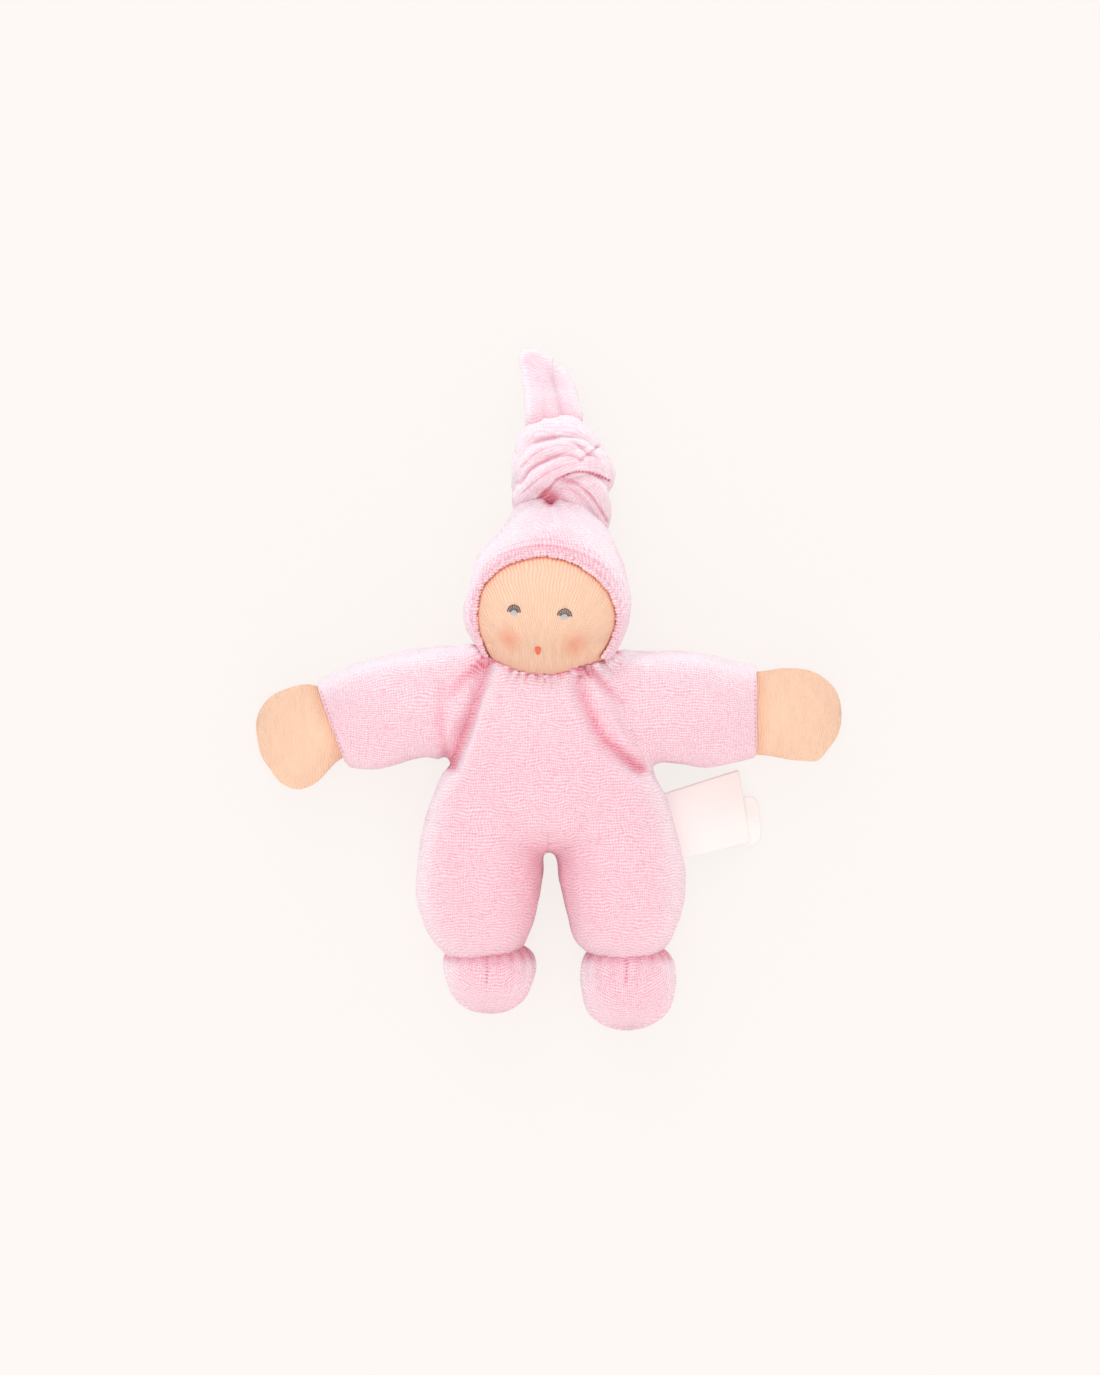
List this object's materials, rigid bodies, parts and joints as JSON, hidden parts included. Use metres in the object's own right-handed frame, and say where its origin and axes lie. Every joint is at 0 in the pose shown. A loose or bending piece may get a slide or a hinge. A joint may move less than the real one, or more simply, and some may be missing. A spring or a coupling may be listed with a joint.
{
  "type": "cloth doll",
  "caption": "Soft cloth doll lying on its back, in a pink terry suit with jersey head and hands, tied-off feet and a cap whose long tip is tied in a knot.",
  "frame": {"origin": "middle of the flat on which the trunk's back rests, between the shoulders and the hips", "axes": "+Z out of the doll's face, +Y towards the tip of the cap, +X towards the doll's own left hand"},
  "size_m": [0.2401, 0.2791, 0.0647],
  "materials": {
    "pink_terry": "matte",
    "skin_jersey": "matte",
    "wool_fill": "matte",
    "neck_cord": "matte",
    "eye_floss": "satin",
    "mouth_floss": "satin",
    "label_satin": "satin"
  },
  "bodies": {
    "trunk": {"suit_trunk": "pink_terry", "trunk_stuffing": "wool_fill"},
    "neck": {"neck_stub": "wool_fill", "neck_cord": "neck_cord"},
    "head": {"head_wool": "wool_fill", "head_skin": "skin_jersey", "eye_right": "eye_floss", "eye_left": "eye_floss", "mouth": "mouth_floss", "cap_hood": "pink_terry", "cap_hem": "pink_terry"},
    "knot": {"cap_knot": "pink_terry"},
    "tip": {"cap_tip": "pink_terry"},
    "labels": {"label_large": "label_satin", "label_small": "label_satin"},
    "arm_right": {"sleeve_right": "pink_terry", "arm_stuffing_right": "wool_fill"},
    "hand_right": {"mitt_right": "skin_jersey", "mitt_stuffing_right": "wool_fill"},
    "leg_right": {"suit_leg_right": "pink_terry", "leg_stuffing_right": "wool_fill"},
    "foot_right": {"foot_right": "pink_terry", "foot_stuffing_right": "wool_fill"},
    "arm_left": {"sleeve_left": "pink_terry", "arm_stuffing_left": "wool_fill"},
    "hand_left": {"mitt_left": "skin_jersey", "mitt_stuffing_left": "wool_fill"},
    "leg_left": {"suit_leg_left": "pink_terry", "leg_stuffing_left": "wool_fill"},
    "foot_left": {"foot_left": "pink_terry", "foot_stuffing_left": "wool_fill"}
  },
  "joints": [
    {"name": "neck_turn", "type": "hinge", "parent": "trunk", "child": "neck", "pos_m": [0, 0.0622, 0.0332], "axis": [0, 1, 0], "range_deg": [-40, 40], "stiffness_Nm_per_rad": 0.03},
    {"name": "head_nod", "type": "hinge", "parent": "neck", "child": "head", "pos_m": [0, 0.0622, 0.0332], "axis": [1, 0, 0], "range_deg": [-10, 20], "stiffness_Nm_per_rad": 0.04},
    {"name": "knot_flop", "type": "hinge", "parent": "head", "child": "knot", "pos_m": [0.0022, 0.0982, 0.0242], "axis": [0, 0, 1], "range_deg": [-15, 15], "stiffness_Nm_per_rad": 0.01},
    {"name": "tip_fold", "type": "hinge", "parent": "knot", "child": "tip", "pos_m": [0.0038, 0.1397, 0.0162], "axis": [1, 0, 0], "range_deg": [-20, 30], "stiffness_Nm_per_rad": 0.005},
    {"name": "arm_swing_right", "type": "hinge", "parent": "trunk", "child": "arm_right", "pos_m": [-0.0304, 0.0226, 0.044], "axis": [0.3584, 0.9336, 0], "range_deg": [0, 80], "stiffness_Nm_per_rad": 0.01},
    {"name": "wrist_bend_right", "type": "hinge", "parent": "arm_right", "child": "hand_right", "pos_m": [-0.08901, 0.01535, 0.0155], "axis": [0, 0, -1], "range_deg": [-15, 15], "stiffness_Nm_per_rad": 0.005},
    {"name": "hip_swing_right", "type": "hinge", "parent": "trunk", "child": "leg_right", "pos_m": [-0.028, -0.036, 0.047], "axis": [-1, 0, 0], "range_deg": [0, 85], "stiffness_Nm_per_rad": 0.01},
    {"name": "ankle_bend_right", "type": "hinge", "parent": "leg_right", "child": "foot_right", "pos_m": [-0.0242, -0.078, 0.018], "axis": [-1, 0, 0], "range_deg": [-12, 12], "stiffness_Nm_per_rad": 0.01},
    {"name": "arm_swing_left", "type": "hinge", "parent": "trunk", "child": "arm_left", "pos_m": [0.0304, 0.0226, 0.044], "axis": [0.3584, -0.9336, 0], "range_deg": [0, 80], "stiffness_Nm_per_rad": 0.01},
    {"name": "wrist_bend_left", "type": "hinge", "parent": "arm_left", "child": "hand_left", "pos_m": [0.08527, 0.01903, 0.0155], "axis": [0, 0, 1], "range_deg": [-15, 15], "stiffness_Nm_per_rad": 0.005},
    {"name": "hip_swing_left", "type": "hinge", "parent": "trunk", "child": "leg_left", "pos_m": [0.028, -0.036, 0.047], "axis": [-1, 0, 0], "range_deg": [0, 85], "stiffness_Nm_per_rad": 0.01},
    {"name": "ankle_bend_left", "type": "hinge", "parent": "leg_left", "child": "foot_left", "pos_m": [0.0326, -0.078, 0.018], "axis": [-1, 0, 0], "range_deg": [-12, 12], "stiffness_Nm_per_rad": 0.01},
    {"name": "label_flap", "type": "hinge", "parent": "trunk", "child": "labels", "pos_m": [0.0435, -0.0135, 0.017], "axis": [0.2924, -0.9563, 0], "range_deg": [-20, 40], "stiffness_Nm_per_rad": 0.004}
  ]
}
